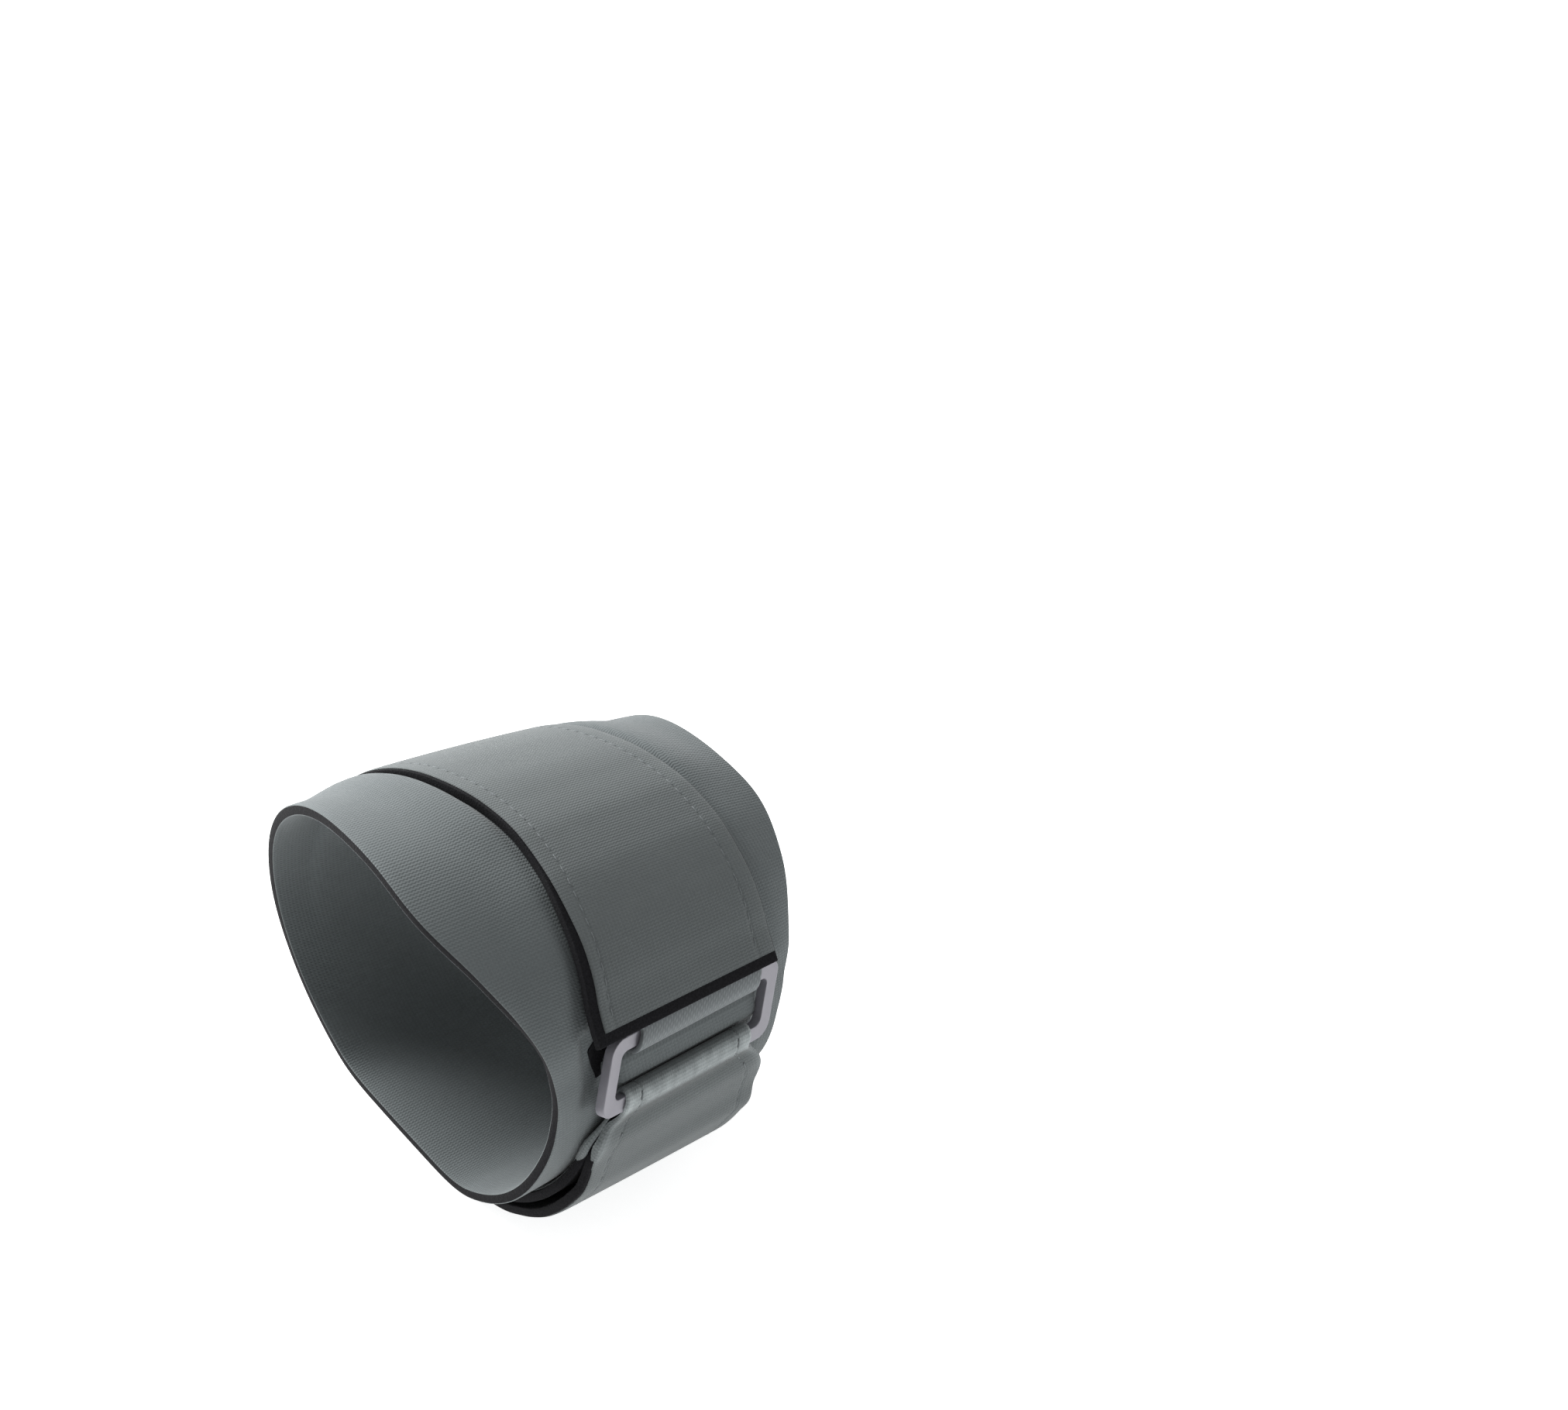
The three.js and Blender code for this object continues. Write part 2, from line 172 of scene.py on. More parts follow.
# %% Sizes of the ring and its tab, in millimetres and degrees
RING_BAR_WIDTH = 3
RING_WINDOW_HEIGHT = 9.5
RING_WINDOW_LENGTH = STRAP_WIDTH - 2 * RING_BAR_WIDTH
RING_THICKNESS = 2.8
UPPER_BAR_ANGLE = 22.6
TAB_THICKNESS = 1.2
TAB_RISE = 17
TIP_RISE = 3.6
BAR_GAP = 0.5
TAB_BAR_GAP = 0.4
SIDE_CLEARANCE = 3.6
RING_SETBACK = 1.3
RING_SKEW = 0.46
BAR_SPACING = RING_WINDOW_HEIGHT + RING_BAR_WIDTH
NECK_HALF = RING_WINDOW_LENGTH / 2 - SIDE_CLEARANCE
RING_EDGE_X = edges_at(UPPER_BAR_ANGLE)[2] + RING_SETBACK
RING_CENTRE_X = RING_EDGE_X + STRAP_WIDTH / 2
LOWER_NECK_X = RING_CENTRE_X - RING_SKEW * BAR_SPACING / 2
UPPER_NECK_X = RING_CENTRE_X + RING_SKEW * BAR_SPACING / 2
LOWER_BAR_LIFT = LAYER_GAP + STRAP_THICKNESS + BAR_GAP + RING_THICKNESS / 2
UPPER_BAR_LIFT = LAYER_GAP + TAB_THICKNESS + TAB_BAR_GAP + RING_THICKNESS / 2


# %% [markdown]
# ## Where the ring sits
# The ring is flat and stiff, so it has a frame of its own: its upper bar lies over the tab's webbing
# and its lower bar over the strap. The lower bar's angle is found by halving, one bar spacing away.
# The strap comes in askew, so the ring is moulded askew to match: its short sides lean.

# %% The ring's frame
def ring_frame():
    upper = form_point(UPPER_BAR_ANGLE, RING_CENTRE_X, UPPER_BAR_LIFT)
    near, far = UPPER_BAR_ANGLE, UPPER_BAR_ANGLE - 90
    for _ in range(40):
        angle = (near + far) / 2
        close = (form_point(angle, RING_CENTRE_X, LOWER_BAR_LIFT) - upper).length < BAR_SPACING
        near, far = (angle, far) if close else (near, angle)
    lower = form_point(near, RING_CENTRE_X, LOWER_BAR_LIFT)
    middle_angle, middle_lift = (UPPER_BAR_ANGLE + near) / 2, (UPPER_BAR_LIFT + LOWER_BAR_LIFT) / 2
    reach = RING_WINDOW_LENGTH / 2
    along = (form_point(middle_angle, RING_CENTRE_X + reach, middle_lift)
             - form_point(middle_angle, RING_CENTRE_X - reach, middle_lift)).normalized()
    outward = along.cross(upper - lower).normalized()
    leaning = outward.cross(along) + along * RING_SKEW
    basis = Matrix((along, leaning, outward)).transposed().to_4x4()
    return near, Matrix.Translation((upper + lower) / 2) @ basis


LOWER_BAR_ANGLE, RING_PLACE = ring_frame()
print("lower bar at", round(LOWER_BAR_ANGLE, 2), "degrees")

# %% [markdown]
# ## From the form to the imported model's frame
# The form counts from the elbow side of the sleeve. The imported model's origin is under its middle, so
# one shift takes every point there. The ring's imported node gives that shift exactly.

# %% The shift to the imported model
# The ring looks the same turned half round, so its box has the same middle as the ring itself
ring_low, ring_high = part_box("buckle_ring")
SHIFT = (Vector(ring_low) + Vector(ring_high)) / 2 / MM - RING_PLACE.translation
print("shift, mm:", [round(value, 3) for value in SHIFT])


def placed(point):
    """A point of the form, in millimetres, as a place in the model, in metres."""
    return (point + SHIFT) * MM


# %% [markdown]
# ## From stations to a smooth sheet
# A strap is drawn as a row of stations, each a straight line across it. Smooth curves through the
# stations give the middle of the sheet, and layers such as a cover or a foam core are the same sheet
# moved off the middle along its normal. That keeps layers glued together round every fold.

# %% Curves through stations
# How far to each side a sheet's slope is taken, in millimetres
SIDE_STEP = 0.2


def smooth_curve(points, knots):
    last = len(points) - 1

    def ends_mirrored(values, i):
        if i < 0:
            return values[0] * 2 - values[1]
        if i > last:
            return values[last] * 2 - values[last - 1]
        return values[i]

    def curve(place):
        index = next((i for i in range(last - 1, 0, -1) if knots[i] <= place), 0)
        return hermite(lambda i: ends_mirrored(knots, i), lambda i: ends_mirrored(points, i),
                       index, place)

    return curve


def station_knots(stations):
    """The distances along the middle of a strap at its stations."""
    points = [station(0.5) for station in stations]
    knots = [0.0]
    for before, after in zip(points, points[1:]):
        knots.append(knots[-1] + (after - before).length)
    return knots


def sheet_rows(stations, columns, width, spacing, trims=(0, 0)):
    """Middle points and normals of a sheet, and the distance along at each row.

    A column is a function: from the distance along, in millimetres, to the place across.
    """
    knots = station_knots(stations)
    low, high = trims[0], knots[-1] - trims[1]
    count = round((high - low) / spacing)
    stops = [mix(low, high, i / count) for i in range(count + 1)]
    rows = [[] for _ in stops]
    for column in columns:
        curves = []
        for beside in (-SIDE_STEP, 0, SIDE_STEP):
            points = [station((column(knot) + beside) / width)
                      for station, knot in zip(stations, knots)]
            curves.append(smooth_curve(points, knots))
        for row, stop in zip(rows, stops):
            along = curves[1](stop + spacing / 4) - curves[1](stop - spacing / 4)
            side = curves[2](stop) - curves[0](stop)
            row.append((curves[1](stop), side.cross(along).normalized()))
    return rows, stops


def straight(place):
    """A column that keeps its place all along."""
    return lambda stop: place


# %% [markdown]
# ## From a flat sheet to a thick one
# A grid is taken to the sheet's points, given walls and rounded at its rim only. A wall that turns more
# tightly than its own thickness would lie in tiny folds, so the points there are smoothed first.

# %% Edit helpers
def select_only(piece):
    bpy.ops.object.select_all(action="DESELECT")
    piece.select_set(True)
    bpy.context.view_layer.objects.active = piece


def primitive(name, add, **settings):
    bpy.ops.object.select_all(action="DESELECT")
    add(**settings)
    piece = bpy.context.object
    piece.name = piece.data.name = name
    return piece


def edit(piece, operator, **settings):
    """Runs one operator in edit mode, on what is selected in the piece."""
    select_only(piece)
    bpy.ops.object.mode_set(mode="EDIT")
    operator(**settings)
    bpy.ops.object.mode_set(mode="OBJECT")


def edit_whole(piece, operator, **settings):
    edit(piece, bpy.ops.mesh.select_all, action="SELECT")
    edit(piece, operator, **settings)


def clear_selection(piece, kind):
    """Leaves nothing selected, so that points, edges or faces can be picked in object mode."""
    edit(piece, bpy.ops.mesh.select_mode, type=kind)
    edit(piece, bpy.ops.mesh.select_all, action="DESELECT")


def apply_modifier(piece, kind, **settings):
    select_only(piece)
    modifier = piece.modifiers.new(kind.title(), kind)
    for name, value in settings.items():
        setattr(modifier, name, value)
    bpy.ops.object.modifier_apply(modifier=modifier.name)


def face_outwards(piece):
    edit_whole(piece, bpy.ops.mesh.normals_make_consistent, inside=False)


# %% A sheet from a grid
MERGE_DISTANCE = 0.01


def grid_sheet(name, rows, stops, places_across, closed=False, thickness_shares=None, wear_and_painted_light=None):
    """A grid primitive whose points are taken to the rows' points. The UV map is in metres."""
    across, along = len(rows[0]) - 1, len(rows) - 1
    piece = primitive(name, bpy.ops.mesh.primitive_grid_add, x_subdivisions=across,
                      y_subdivisions=along, size=2)
    places = {}
    for vertex in piece.data.vertices:
        column = round((vertex.co.x + 1) / 2 * across)
        row = round((vertex.co.y + 1) / 2 * along)
        places[vertex.index] = (row, column)
        vertex.co = placed(rows[row][column])
    if thickness_shares:
        group = piece.vertex_groups.new(name="thickness")
        for index, (row, column) in places.items():
            group.add([index], thickness_shares[row], "REPLACE")
    # Each point's wear value: real edge wear, and painted highlight and painted crease shade on the
    # strap's fold
    if wear_and_painted_light:
        attribute = piece.data.attributes.new("wear_and_painted_light", "FLOAT", "POINT")
        for index, (row, column) in places.items():
            attribute.data[index].value = wear_and_painted_light(stops[row], places_across[row][column])
    uv = piece.data.uv_layers.active.data
    for loop in piece.data.loops:
        row, column = places[loop.vertex_index]
        uv[loop.index].uv = (places_across[row][column] * MM, stops[row] * MM)
    if closed:
        edit_whole(piece, bpy.ops.mesh.remove_doubles, threshold=MERGE_DISTANCE * MM)
    return piece


# %% Walls and a rounded rim
# Edges that turn by more than these, in degrees, are corners to round or folds to smooth
CORNER_ANGLE = 50
FOLD_ANGLE = 60
FOLD_PASSES = 8
RIM_SEGMENTS = 3


def edge_normals(piece):
    """For each edge, the normals of its faces."""
    normals = {}
    for face in piece.data.polygons:
        for key in face.edge_keys:
            normals.setdefault(key, []).append(face.normal)
    return normals


def sharp_edges(piece, angle):
    normals, least = edge_normals(piece), math.cos(math.radians(angle))
    return [edge for edge in piece.data.edges
            if normals[edge.key][0].dot(normals[edge.key][-1]) < least]


def relax_folds(piece, rim):
    """Smooths the points, away from the rim, where a wall turned sharply and lies in a tiny fold."""
    for _ in range(FOLD_PASSES):
        folded = {i for edge in sharp_edges(piece, FOLD_ANGLE) for i in edge.vertices} - rim
        near = {i for edge in piece.data.edges if folded & set(edge.vertices) for i in edge.vertices}
        clear_selection(piece, "VERT")
        for index in near - rim:
            piece.data.vertices[index].select = True
        edit(piece, bpy.ops.mesh.vertices_smooth, factor=0.5, repeat=2)


def round_rim(piece, rim, edge_round):
    clear_selection(piece, "EDGE")
    for edge in sharp_edges(piece, CORNER_ANGLE):
        edge.select = set(edge.vertices) <= rim
    edit(piece, bpy.ops.mesh.bevel, offset=edge_round * MM, segments=RIM_SEGMENTS,
         clamp_overlap=True, material=0)


def thicken(piece, thickness, edge_round=0):
    """Gives a sheet its walls. A second material, where there is one, shows along the cut edge.

    The new wall's points come after the flat sheet's, in the same order, so its border gives the rim.
    """
    cut_edge = len(piece.data.materials) - 1
    flat_count = len(piece.data.vertices)
    border = {i for key, normals in edge_normals(piece).items() if len(normals) == 1 for i in key}
    apply_modifier(piece, "SOLIDIFY", thickness=thickness * MM, offset=0, use_even_offset=True,
                   material_offset_rim=max(cut_edge, 0),
                   vertex_group="thickness" if piece.vertex_groups else "")
    face_outwards(piece)
    rim = border | {i + flat_count for i in border}
    relax_folds(piece, rim)
    if edge_round:
        round_rim(piece, rim, edge_round)
    select_only(piece)
    bpy.ops.object.shade_smooth_by_angle(angle=math.radians(FOLD_ANGLE))
    print(piece.name, len(piece.data.polygons), "faces")


# %% [markdown]
# ## Node groups for the finishes
# The knit face, the foam's cut edge and the webbing are all fine patterns laid along the cloth, so
# they read the UV map, which is in metres. Each is a group that gives a colour factor and a height, and
# the material feeds those to its own shader.

# %% Node helpers
def new_group(name, **values):
    """A group that takes a vector and some values, and gives a colour factor and a height."""
    group = bpy.data.node_groups.new(name, "ShaderNodeTree")
    group.interface.new_socket("Vector", in_out="INPUT", socket_type="NodeSocketVector")
    for label, value in values.items():
        socket = group.interface.new_socket(label, in_out="INPUT", socket_type="NodeSocketFloat")
        socket.default_value = value
    for label in ("Shade", "Height"):
        group.interface.new_socket(label, in_out="OUTPUT", socket_type="NodeSocketFloat")
    entry, leave = group.nodes.new("NodeGroupInput"), group.nodes.new("NodeGroupOutput")
    return group, entry.outputs, leave.inputs


def math_node(tree, operation, first, second=0.5, clamp=False):
    node = tree.nodes.new("ShaderNodeMath")
    node.operation = operation
    node.use_clamp = clamp
    for socket, value in zip(node.inputs, (first, second)):
        if isinstance(value, bpy.types.NodeSocket):
            tree.links.new(value, socket)
        else:
            socket.default_value = value
    return node.outputs[0]


def plus(tree, first, second):
    return math_node(tree, "ADD", first, second)


def times(tree, first, second):
    return math_node(tree, "MULTIPLY", first, second)


def noise_node(tree, vector, scale, detail=2, roughness=0.5):
    node = tree.nodes.new("ShaderNodeTexNoise")
    tree.links.new(vector, node.inputs["Vector"])
    for label, value in (("Scale", scale), ("Detail", detail), ("Roughness", roughness)):
        node.inputs[label].default_value = value
    return node.outputs["Fac"]


# %% The knit group
LOOP_LEAN = 0.9
LOOP_RATE = 1.3
# Noise scales, in features to the metre
FUZZ_SCALE = 2600
STREAK_SCALE = 420
RUB_AND_HIGHLIGHT_SCALE = 300
BROAD_SCALE = 70
BROAD_HEIGHT = 1.6
FINE_SHADE = 0.16


def knit_group():
    """Rows of small loops with a little fuzz. Course is the width of one loop in metres. The wear
    input lightens the cloth in patches, for edge wear and for a painted highlight; below 0 it darkens
    the cloth evenly, as painted crease shade."""
    group, given, result = new_group("knit_loops", Course=0.0009, Fuzz=0.35, Mottle=0.3, Wear=0)
    vector, wear_and_painted_light = given["Vector"], given["Wear"]
    split = group.nodes.new("ShaderNodeSeparateXYZ")
    group.links.new(vector, split.inputs[0])
    turns = math_node(group, "DIVIDE", 2 * math.pi, given["Course"])
    wale = times(group, split.outputs["X"], turns)
    row = times(group, split.outputs["Y"], turns)
    lean = times(group, math_node(group, "SINE", wale), LOOP_LEAN)
    loop = math_node(group, "SINE", plus(group, times(group, row, LOOP_RATE), lean))
    rib = math_node(group, "COSINE", wale)
    knit = plus(group, times(group, loop, 0.3), times(group, rib, 0.2))
    fuzz = math_node(group, "SUBTRACT", noise_node(group, vector, FUZZ_SCALE, 3, 0.7), 0.5)
    cloth = plus(group, knit, times(group, fuzz, given["Fuzz"]))
    broad = noise_node(group, vector, BROAD_SCALE, 4, 0.6)
    height = plus(group, cloth, times(group, broad, BROAD_HEIGHT))
    group.links.new(height, result["Height"])
    streak = noise_node(group, vector, STREAK_SCALE, 3, 0.6)
    mottle = plus(group, times(group, broad, 0.7), times(group, streak, 0.3))
    mottle = times(group, math_node(group, "SUBTRACT", mottle, 0.5), given["Mottle"])
    shade = plus(group, plus(group, mottle, times(group, cloth, FINE_SHADE)), 0.5)
    # Above 0 the wear input lightens in patches, as edge wear and painted highlight; below 0 it is
    # painted crease shade
    patches = plus(group, times(group, noise_node(group, vector, RUB_AND_HIGHLIGHT_SCALE, 3), 1.6), 0.2)
    rubbed_and_painted_highlight = times(group, math_node(group, "MAXIMUM", wear_and_painted_light, 0), patches)
    worn_and_painted_light = plus(group, rubbed_and_painted_highlight, math_node(group, "MINIMUM", wear_and_painted_light, 0))
    group.links.new(plus(group, shade, worn_and_painted_light), result["Shade"])
    return group


# %% The webbing and foam groups
YARN_GRAIN_SCALE = 3000
FOAM_GRAIN_SCALE = 900


def webbing_group():
    """A tight basket weave of thick yarns."""
    group, given, result = new_group("webbing_weave", Yarn=0.0011)
    split = group.nodes.new("ShaderNodeSeparateXYZ")
    group.links.new(given["Vector"], split.inputs[0])
    turns = math_node(group, "DIVIDE", math.pi, given["Yarn"])
    warp = math_node(group, "SINE", times(group, split.outputs["X"], turns))
    weft = math_node(group, "SINE", times(group, split.outputs["Y"], turns))
    crown = times(group, math_node(group, "ABSOLUTE", warp), 0.6)
    cross = times(group, times(group, warp, weft), 0.35)
    grain = times(group, noise_node(group, given["Vector"], YARN_GRAIN_SCALE, 2), 0.2)
    height = plus(group, plus(group, crown, cross), grain)
    group.links.new(height, result["Height"])
    shade = math_node(group, "ADD", times(group, height, 0.5), 0.25, clamp=True)
    group.links.new(shade, result["Shade"])
    return group


def foam_group():
    """Closed-cell foam as a blade leaves it: fine open pores."""
    group, given, result = new_group("foam_cells", Cell=2200)
    cells = group.nodes.new("ShaderNodeTexVoronoi")
    group.links.new(given["Vector"], cells.inputs["Vector"])
    group.links.new(given["Cell"], cells.inputs["Scale"])
    grain = noise_node(group, given["Vector"], FOAM_GRAIN_SCALE, 3)
    height = plus(group, cells.outputs["Distance"], times(group, grain, 0.5))
    group.links.new(height, result["Height"])
    group.links.new(math_node(group, "MULTIPLY", height, 0.6, clamp=True), result["Shade"])
    return group


knit_loops = knit_group()
webbing_weave = webbing_group()
foam_cells = foam_group()


# %% A material from a group
# A Mix node's factor and its colour sockets
MIX_FACTOR, MIX_DARK, MIX_LIGHT, MIX_RESULT = 0, 6, 7, 2
RELIEF_STRENGTH = 0.8
SHEEN_ROUGHNESS = 0.5


def finish_material(name, group, values, dark, light, roughness, bump,
                    sheen=0.0, use_uv=True, specular=0.3):
    """Colour runs from dark to light with the group's shade, and its height is the bump."""
    material = bpy.data.materials.new(name)
    material.use_nodes = True
    tree = material.node_tree
    link = tree.links.new
    shader = tree.nodes["Principled BSDF"]
    source = tree.nodes.new("ShaderNodeTexCoord")
    pattern = tree.nodes.new("ShaderNodeGroup")
    pattern.node_tree = group
    link(source.outputs["UV" if use_uv else "Object"], pattern.inputs["Vector"])
    for label, value in values.items():
        pattern.inputs[label].default_value = value
    colour = tree.nodes.new("ShaderNodeMix")
    colour.data_type = "RGBA"
    colour.clamp_factor = False
    colour.inputs[MIX_DARK].default_value = (*dark, 1)
    colour.inputs[MIX_LIGHT].default_value = (*light, 1)
    # The wear attribute brings edge wear and painted light and shade into the knit pattern
    if "Wear" in pattern.inputs:
        wear_and_painted_light = tree.nodes.new("ShaderNodeAttribute")
        wear_and_painted_light.attribute_name = "wear_and_painted_light"
        link(wear_and_painted_light.outputs["Fac"], pattern.inputs["Wear"])
    link(pattern.outputs["Shade"], colour.inputs[MIX_FACTOR])
    link(colour.outputs[MIX_RESULT], shader.inputs["Base Color"])
    relief = tree.nodes.new("ShaderNodeBump")
    relief.inputs["Distance"].default_value = bump * MM
    relief.inputs["Strength"].default_value = RELIEF_STRENGTH
    link(pattern.outputs["Height"], relief.inputs["Height"])
    link(relief.outputs["Normal"], shader.inputs["Normal"])
    shader.inputs["Roughness"].default_value = roughness
    shader.inputs["Specular IOR Level"].default_value = specular
    shader.inputs["Sheen Weight"].default_value = sheen
    shader.inputs["Sheen Roughness"].default_value = SHEEN_ROUGHNESS
    return material


def dress(piece, material):
    if not piece.data.materials:
        piece.data.materials.append(material)
    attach(piece, "root")


# %% [markdown]
# ## The sleeve
# The real sleeve is knit fabric laminated to both sides of thin foam, about 2.5 mm through, and the
# black foam shows at its cut ends, which are curved. The strap squeezes it, so it stands a little proud
# of the strap along its free margins, and those margins are never quite even.

# %% How the sleeve stands round the strap
SLEEVE_ROWS = 360
EDGE_BAND = (0.6, 3.6)
COLUMN_COUNTS = (9, 10, 26, 10, 9)
SLEEVE_EDGE_ROUND = 0.25
RIM_WEAR = 0.12
RIM_WEAR_REACH = 1.5
MARGIN_FLARE = 0.45
MARGIN_WAVE = 0.16
# Distances outside the strap's edge: where the swell starts under the strap, where it rises beside it,
# where it eases again, and where the margin stands free
SWELL_UNDER = (-2, -0.3)
SWELL_RISE = (0.2, 3.2)
SWELL_EASE = (3.2, 15)
SWELL_LOSS = 0.8
MARGIN_START = (4, 20)
# Heights round the arm, from -1 at the bottom to 1 at the top
FLARE_HEIGHTS = (-0.6, 0.5)
REST_HEIGHTS = (-0.95, -0.75)
TAB_CLEARANCE = 6
# Angle, and how far the sleeve swells up beside the strap, in millimetres
SWELLS = [(-30, 0), (0, 0.3), (15, 1), (28, 2.7), (46, 2.7), (62, 2.1), (76, 1.7), (92, 2.5),
          (140, 2.5), (180, 0.8), (210, 0)]
TAB_HEIGHT = 2 * (TAB_THICKNESS + LAYER_GAP)
# The same inside the ring's window, in degrees from the lower bar: up under the bar, highest in the
# window, and down again before the tab
WINDOW_SWELLS = [(-14, 0), (-1, 1.75), (1.5, 2.1), (2.5, 2.5), (5, 3.5), (8.5, 3.2), (12, 1),
                 (14.5, 0)]
WINDOW_REACH = 4.2
WINDOW_FADE = 3


def table_value(rows, column, place):
    """A smooth run through a table's rows, which is flat beyond its ends."""
    if place <= rows[0][0]:
        return rows[0][column]
    for start, end in zip(rows, rows[1:]):
        if place <= end[0]:
            return mix(start[column], end[column], ease(place, start[0], end[0]))
    return rows[-1][column]


def outer_run_value(column, angle):
    return table_value(OUTER_RUN[::-1], column, angle)


def window_swell(angle, x):
    from_end = NECK_HALF + WINDOW_REACH - abs(x - mix(LOWER_NECK_X, UPPER_NECK_X, 0.5))
    return table_value(WINDOW_SWELLS, 1, angle - LOWER_BAR_ANGLE) * ease(from_end, 0, WINDOW_FADE)


def sleeve_lift(angle, x):
    """How far the sleeve's outer face stands off the form: up beside the strap, then easing."""
    if angle > 330:
        angle -= 360
    _, _, low, high = edges_at(angle)
    outside = max(low - x, x - high)
    turn = math.radians(angle)
    height = math.sin(turn)
    full = table_value(SWELLS, 1, angle)
    room = 0
    if angle > UPPER_BAR_ANGLE + TAB_CLEARANCE:
        room = min(full, outer_run_value(2, angle - 360) * TAB_HEIGHT)
    swell = room * ease(outside, *SWELL_UNDER)
    if outside > 0:
        eased = full * (1 - SWELL_LOSS * ease(outside, *SWELL_EASE))
        swell = mix(room, eased, ease(outside, *SWELL_RISE))
    wave = math.sin(turn * 5 + 0.04 * x) + 0.6 * math.sin(turn * 9 + 1)
    flare = MARGIN_FLARE * ease(height, *FLARE_HEIGHTS)
    margin = ease(outside, *MARGIN_START) * (flare + MARGIN_WAVE * wave)
    return (max(swell, window_swell(angle, x)) + margin) * ease(height, *REST_HEIGHTS)


# %% Build the sleeve
def sleeve_columns(angle):
    """Where the points stand along the sleeve: close together just outside the strap's edges."""
    elbow, wrist, low, high = edges_at(angle)
    inside, outside = EDGE_BAND
    marks = [elbow, low - outside, low + inside, high - inside, high + outside, wrist]
    columns = [elbow]
    for start, end, count in zip(marks, marks[1:], COLUMN_COUNTS):
        columns += [mix(start, end, (step + 1) / count) for step in range(count)]
    return columns


def build_sleeve(face, core):
    half_height = (ELBOW_HALF_HEIGHT + WRIST_HALF_HEIGHT) / 2
    round_length = 2 * math.pi * (1 + WIDTH_RATIO) / 2 * half_height
    angles = [360 * row / SLEEVE_ROWS for row in range(SLEEVE_ROWS + 1)]
    places = [sleeve_columns(angle) for angle in angles]
    rows = [[form_point(angle, x, sleeve_lift(angle, x) - SLEEVE_WALL / 2) for x in line]
            for angle, line in zip(angles, places)]
    stops = [round_length * angle / 360 for angle in angles]
    ends = [(line[0], line[-1]) for line in places]

    def rim_wear(stop, x):
        low, high = ends[round(stop / round_length * SLEEVE_ROWS)]
        return RIM_WEAR * math.exp(-min(x - low, high - x) / RIM_WEAR_REACH)

    sleeve = grid_sheet("sleeve", rows, stops, places, closed=True, wear_and_painted_light=rim_wear)
    sleeve.data.materials.append(face)
    sleeve.data.materials.append(core)
    thicken(sleeve, SLEEVE_WALL, SLEEVE_EDGE_ROUND)
    return sleeve, round_length


band_knit = finish_material("band_knit", knit_loops, {"Course": 0.0009, "Fuzz": 0.5, "Mottle": 0.35},
                            (0.058, 0.067, 0.069), (0.128, 0.144, 0.147), 0.88, 0.12, sheen=0.1)
black_foam = finish_material("black_foam", foam_cells, {}, (0.002, 0.002, 0.0025),
                             (0.012, 0.012, 0.014), 0.95, 0.08, use_uv=False, specular=0.15)
sleeve, sleeve_round = build_sleeve(band_knit, black_foam)
dress(sleeve, band_knit)
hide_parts("base_band")

# %% [markdown]
# ## The tension strap
# The strap is a grey knit cover on black foam. It is die-cut, so the black foam shows all round it as a
# dark line, wider where the strap stands off the sleeve. It is built as two glued layers on one middle
# sheet: the cover stops just inside the foam's edge.

# %% The strap's stations
# Steps half way round a bar, and how far the fold carries on past its top
FOLD_STEPS = 8
FOLD_OVERRUN = math.pi / 5


def strap_station(angle, elbow_lift, wrist_lift, past_bar):
    spread = ease(past_bar, 0, NECK_RUN)
    _, _, low, high = edges_at(angle)
    elbow = mix(LOWER_NECK_X - NECK_HALF, low, spread)
    wrist = mix(LOWER_NECK_X + NECK_HALF, high, spread)
    return lambda across: form_point(angle, mix(elbow, wrist, across),
                                     mix(elbow_lift, wrist_lift, across))


def fold_stations(bar_y, side, radius, roundness):
    """The way round one bar of the ring: under it, past its window side and over its shoulder."""
    turns = [(side * roundness, math.pi * (step / FOLD_STEPS - 0.5)) for step in range(FOLD_STEPS + 1)]
    turns.append((-side * roundness, math.pi / 2 + FOLD_OVERRUN))

    def station(centre, turn):
        y = bar_y + centre + side * radius * math.cos(turn)
        z = radius * math.sin(turn)
        return lambda across: RING_PLACE @ Vector((mix(-NECK_HALF, NECK_HALF, across), y, z))

    return [station(centre, turn) for centre, turn in turns]


# The foam is shaved thin where the strap goes round the bar, so that the fold is tight
NECK_THICKNESS = 1.15
NECK_GAP = 0.15
STRAP_MIDDLE = LAYER_GAP + STRAP_THICKNESS / 2
ANGLE_STEP = 5
# Degrees before the lower bar between which the strap climbs to it
CLIMB_START, CLIMB_END = 16, 2


def outer_station(angle):
    lift = STRAP_MIDDLE + outer_run_value(1, angle) * RUN_HEIGHT
    lift += outer_run_value(2, angle) * TAB_HEIGHT
    return strap_station(angle, lift + outer_run_value(3, angle) * PUCKER_HEIGHT,
                         lift + outer_run_value(4, angle) * PUCKER_HEIGHT, LOWER_BAR_ANGLE - angle)


